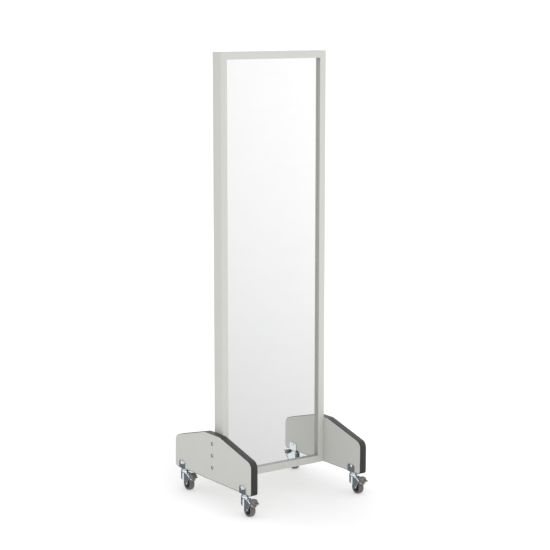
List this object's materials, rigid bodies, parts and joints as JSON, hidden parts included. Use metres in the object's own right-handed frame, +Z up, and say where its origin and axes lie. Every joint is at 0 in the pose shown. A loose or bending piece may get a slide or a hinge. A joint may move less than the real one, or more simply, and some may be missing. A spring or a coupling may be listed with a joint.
{
  "type": "rolling floor mirror",
  "caption": "Tall framed floor mirror held upright between two shaped side panels that roll on swivel casters with brake pedals.",
  "frame": {"origin": "on the floor under the wheels, at the middle of the whole object's outer box", "axes": "+Z up, the mirror faces -Y, +X to the right seen from the front"},
  "size_m": [0.555, 0.5476, 1.6825],
  "materials": {
    "painted_board": "satin paint on board",
    "panel_laminate": "fine matt laminate on board",
    "edge_band": "satin anthracite edging",
    "mirror": "polished",
    "foam": "closed-cell foam",
    "fibreboard": "raw fibreboard",
    "raw_wood": "planed softwood",
    "zinc_steel": "bright zinc plate",
    "brass": "turned",
    "tyre_rubber": "soft warm grey tread",
    "hub_plastic": "moulded",
    "pedal_plastic": "moulded, lightly grained"
  },
  "bodies": {
    "root": {"left_stile": "painted_board", "right_stile": "painted_board", "top_rail": "painted_board", "bottom_rail": "painted_board", "corner_keys": "zinc_steel", "mirror_glass": "mirror", "glass_tape": "foam", "backing_board": "fibreboard", "left_bead": "raw_wood", "right_bead": "raw_wood", "top_bead": "raw_wood", "bottom_bead": "raw_wood", "rear_cover": "painted_board", "rear_cover_screws": "zinc_steel", "left_side_panel": "panel_laminate", "right_side_panel": "panel_laminate", "left_edge_band": "edge_band", "right_edge_band": "edge_band", "side_panel_bolts": "zinc_steel", "threaded_inserts": "brass", "caster_brackets": "zinc_steel", "bracket_bolts": "zinc_steel", "bracket_cap_nuts": "zinc_steel", "kingpins": "zinc_steel", "upper_races": "zinc_steel"},
    "fl_swivel": {"fl_fork": "zinc_steel", "fl_swivel_balls": "zinc_steel", "fl_axle": "zinc_steel", "fl_brake_pin": "zinc_steel"},
    "fl_wheel": {"fl_hub": "hub_plastic", "fl_tyre": "tyre_rubber"},
    "fl_brake": {"fl_brake_lever": "zinc_steel", "fl_brake_pedal": "pedal_plastic"},
    "fr_swivel": {"fr_fork": "zinc_steel", "fr_swivel_balls": "zinc_steel", "fr_axle": "zinc_steel", "fr_brake_pin": "zinc_steel"},
    "fr_wheel": {"fr_hub": "hub_plastic", "fr_tyre": "tyre_rubber"},
    "fr_brake": {"fr_brake_lever": "zinc_steel", "fr_brake_pedal": "pedal_plastic"},
    "rl_swivel": {"rl_fork": "zinc_steel", "rl_swivel_balls": "zinc_steel", "rl_axle": "zinc_steel", "rl_brake_pin": "zinc_steel"},
    "rl_wheel": {"rl_hub": "hub_plastic", "rl_tyre": "tyre_rubber"},
    "rl_brake": {"rl_brake_lever": "zinc_steel", "rl_brake_pedal": "pedal_plastic"},
    "rr_swivel": {"rr_fork": "zinc_steel", "rr_swivel_balls": "zinc_steel", "rr_axle": "zinc_steel", "rr_brake_pin": "zinc_steel"},
    "rr_wheel": {"rr_hub": "hub_plastic", "rr_tyre": "tyre_rubber"},
    "rr_brake": {"rr_brake_lever": "zinc_steel", "rr_brake_pedal": "pedal_plastic"}
  },
  "joints": [
    {"name": "fl_swivel_turn", "type": "hinge", "parent": "root", "child": "fl_swivel", "pos_m": [-0.25175, -0.19175, 0.074], "axis": [0, 0, 1], "continuous": true},
    {"name": "fl_wheel_spin", "type": "hinge", "parent": "fl_swivel", "child": "fl_wheel", "pos_m": [-0.25175, -0.21425, 0.025], "axis": [1, 0, 0], "continuous": true},
    {"name": "fl_brake_press", "type": "hinge", "parent": "fl_swivel", "child": "fl_brake", "pos_m": [-0.25175, -0.21925, 0.06], "axis": [1, 0, 0], "range_deg": [0, 7]},
    {"name": "fr_swivel_turn", "type": "hinge", "parent": "root", "child": "fr_swivel", "pos_m": [0.25175, -0.19175, 0.074], "axis": [0, 0, 1], "continuous": true},
    {"name": "fr_wheel_spin", "type": "hinge", "parent": "fr_swivel", "child": "fr_wheel", "pos_m": [0.25175, -0.21425, 0.025], "axis": [1, 0, 0], "continuous": true},
    {"name": "fr_brake_press", "type": "hinge", "parent": "fr_swivel", "child": "fr_brake", "pos_m": [0.25175, -0.21925, 0.06], "axis": [1, 0, 0], "range_deg": [0, 7]},
    {"name": "rl_swivel_turn", "type": "hinge", "parent": "root", "child": "rl_swivel", "pos_m": [-0.25175, 0.22325, 0.074], "axis": [0, 0, 1], "continuous": true},
    {"name": "rl_wheel_spin", "type": "hinge", "parent": "rl_swivel", "child": "rl_wheel", "pos_m": [-0.25175, 0.20075, 0.025], "axis": [1, 0, 0], "continuous": true},
    {"name": "rl_brake_press", "type": "hinge", "parent": "rl_swivel", "child": "rl_brake", "pos_m": [-0.25175, 0.19575, 0.06], "axis": [1, 0, 0], "range_deg": [0, 7]},
    {"name": "rr_swivel_turn", "type": "hinge", "parent": "root", "child": "rr_swivel", "pos_m": [0.25175, 0.22325, 0.074], "axis": [0, 0, 1], "continuous": true},
    {"name": "rr_wheel_spin", "type": "hinge", "parent": "rr_swivel", "child": "rr_wheel", "pos_m": [0.25175, 0.20075, 0.025], "axis": [1, 0, 0], "continuous": true},
    {"name": "rr_brake_press", "type": "hinge", "parent": "rr_swivel", "child": "rr_brake", "pos_m": [0.25175, 0.19575, 0.06], "axis": [1, 0, 0], "range_deg": [0, 7]}
  ]
}
